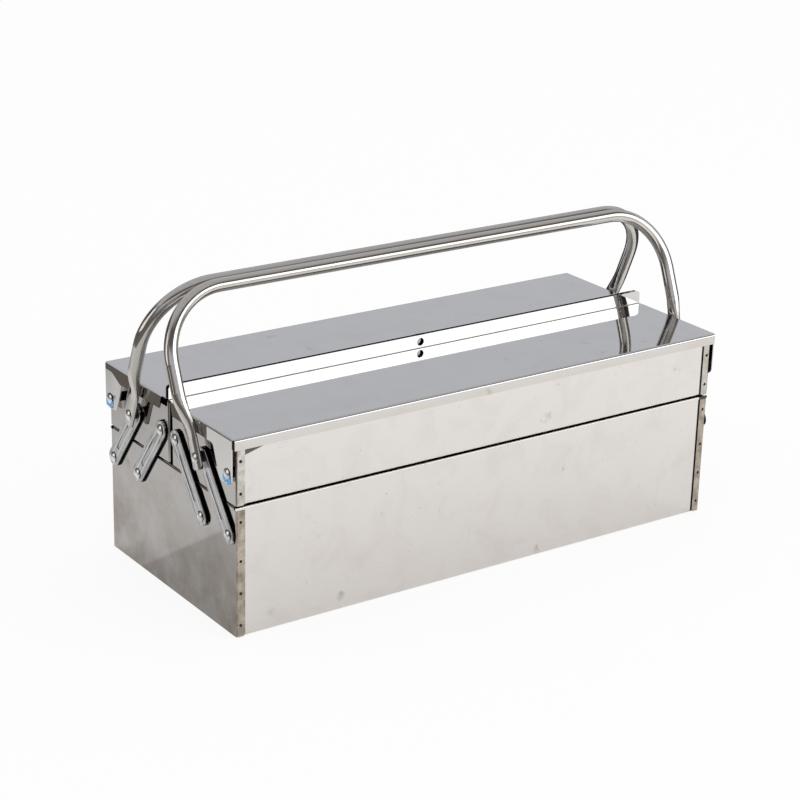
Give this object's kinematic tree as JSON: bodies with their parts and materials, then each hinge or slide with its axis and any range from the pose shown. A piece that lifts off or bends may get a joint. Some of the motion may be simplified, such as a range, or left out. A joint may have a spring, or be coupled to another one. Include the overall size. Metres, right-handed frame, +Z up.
{
  "type": "cantilever tool box",
  "caption": "Folding stainless tool box: deep base, link-hung trays that swing out level, hinged flat lids, and tube handles that meet over the middle.",
  "frame": {"origin": "middle of the underside", "axes": "+X along the box to the right end, -Y the front, +Z up"},
  "size_m": [0.4612, 0.187, 0.2343],
  "materials": {
    "bright_sheet": "bright rolled stainless sheet, near mirror",
    "end_sheet": "bright rolled stainless sheet, slightly handled",
    "lid_sheet": "bright rolled stainless sheet, near mirror",
    "link": "tumbled dull grey steel",
    "rivet": "bright plated steel",
    "handle_tube": "polished stainless tube"
  },
  "bodies": {
    "base": {"base_shell": "bright_sheet", "base_end_left": "end_sheet", "base_end_right": "end_sheet", "front_inner_foot_rivet_left": "rivet", "front_inner_foot_rivet_right": "rivet", "front_outer_foot_rivet_left": "rivet", "front_outer_foot_rivet_right": "rivet", "back_inner_foot_rivet_left": "rivet", "back_inner_foot_rivet_right": "rivet", "back_outer_foot_rivet_left": "rivet", "back_outer_foot_rivet_right": "rivet"},
    "front_outer_links": {"front_outer_link_left": "link", "front_outer_link_right": "link"},
    "front_inner_links": {"front_inner_link_left": "link", "front_inner_link_right": "link"},
    "front_tray": {"front_tray_shell": "bright_sheet", "front_tray_end_left": "end_sheet", "front_tray_end_right": "end_sheet", "front_inner_link_rivet_left": "rivet", "front_inner_link_rivet_right": "rivet", "front_handle_rivet_left": "rivet", "front_handle_rivet_right": "rivet", "front_handle_spacer_left": "rivet", "front_handle_spacer_right": "rivet", "front_lid_rivet_left": "rivet", "front_lid_rivet_right": "rivet"},
    "front_lid": {"front_lid": "lid_sheet"},
    "front_handle": {"front_handle": "handle_tube"},
    "back_outer_links": {"back_outer_link_left": "link", "back_outer_link_right": "link"},
    "back_inner_links": {"back_inner_link_left": "link", "back_inner_link_right": "link"},
    "back_tray": {"back_tray_shell": "bright_sheet", "back_tray_end_left": "end_sheet", "back_tray_end_right": "end_sheet", "back_inner_link_rivet_left": "rivet", "back_inner_link_rivet_right": "rivet", "back_handle_rivet_left": "rivet", "back_handle_rivet_right": "rivet", "back_handle_spacer_left": "rivet", "back_handle_spacer_right": "rivet", "back_lid_rivet_left": "rivet", "back_lid_rivet_right": "rivet"},
    "back_lid": {"back_lid": "lid_sheet"},
    "back_handle": {"back_handle": "handle_tube"}
  },
  "joints": [
    {"name": "front_swing", "type": "hinge", "parent": "base", "child": "front_outer_links", "pos_m": [0, -0.0838, 0.0767], "axis": [1, 0, 0], "range_deg": [0, 75]},
    {"name": "front_inner_swing", "type": "hinge", "parent": "base", "child": "front_inner_links", "pos_m": [0, -0.0462, 0.0767], "axis": [1, 0, 0], "range_deg": [0, 75]},
    {"name": "front_tray_level", "type": "hinge", "parent": "front_outer_links", "child": "front_tray", "pos_m": [0, -0.0485, 0.1229], "axis": [1, 0, 0], "range_deg": [-75, 0]},
    {"name": "front_lid_hinge", "type": "hinge", "parent": "front_tray", "child": "front_lid", "pos_m": [0, -0.0853, 0.1233], "axis": [1, 0, 0], "range_deg": [0, 135]},
    {"name": "front_handle_hinge", "type": "hinge", "parent": "front_tray", "child": "front_handle", "pos_m": [0, -0.0485, 0.1229], "axis": [1, 0, 0], "range_deg": [0, 169]},
    {"name": "back_swing", "type": "hinge", "parent": "base", "child": "back_outer_links", "pos_m": [0, 0.0838, 0.0767], "axis": [-1, 0, 0], "range_deg": [0, 75]},
    {"name": "back_inner_swing", "type": "hinge", "parent": "base", "child": "back_inner_links", "pos_m": [0, 0.0462, 0.0767], "axis": [-1, 0, 0], "range_deg": [0, 75]},
    {"name": "back_tray_level", "type": "hinge", "parent": "back_outer_links", "child": "back_tray", "pos_m": [0, 0.0485, 0.1229], "axis": [-1, 0, 0], "range_deg": [-75, 0]},
    {"name": "back_lid_hinge", "type": "hinge", "parent": "back_tray", "child": "back_lid", "pos_m": [0, 0.0853, 0.1233], "axis": [-1, 0, 0], "range_deg": [0, 135]},
    {"name": "back_handle_hinge", "type": "hinge", "parent": "back_tray", "child": "back_handle", "pos_m": [0, 0.0485, 0.1229], "axis": [-1, 0, 0], "range_deg": [0, 169]}
  ],
  "couplings": [
    {"joint": "front_inner_swing", "follows": "front_swing", "ratio": 1},
    {"joint": "front_tray_level", "follows": "front_swing", "ratio": -1},
    {"joint": "back_inner_swing", "follows": "back_swing", "ratio": 1},
    {"joint": "back_tray_level", "follows": "back_swing", "ratio": -1}
  ]
}
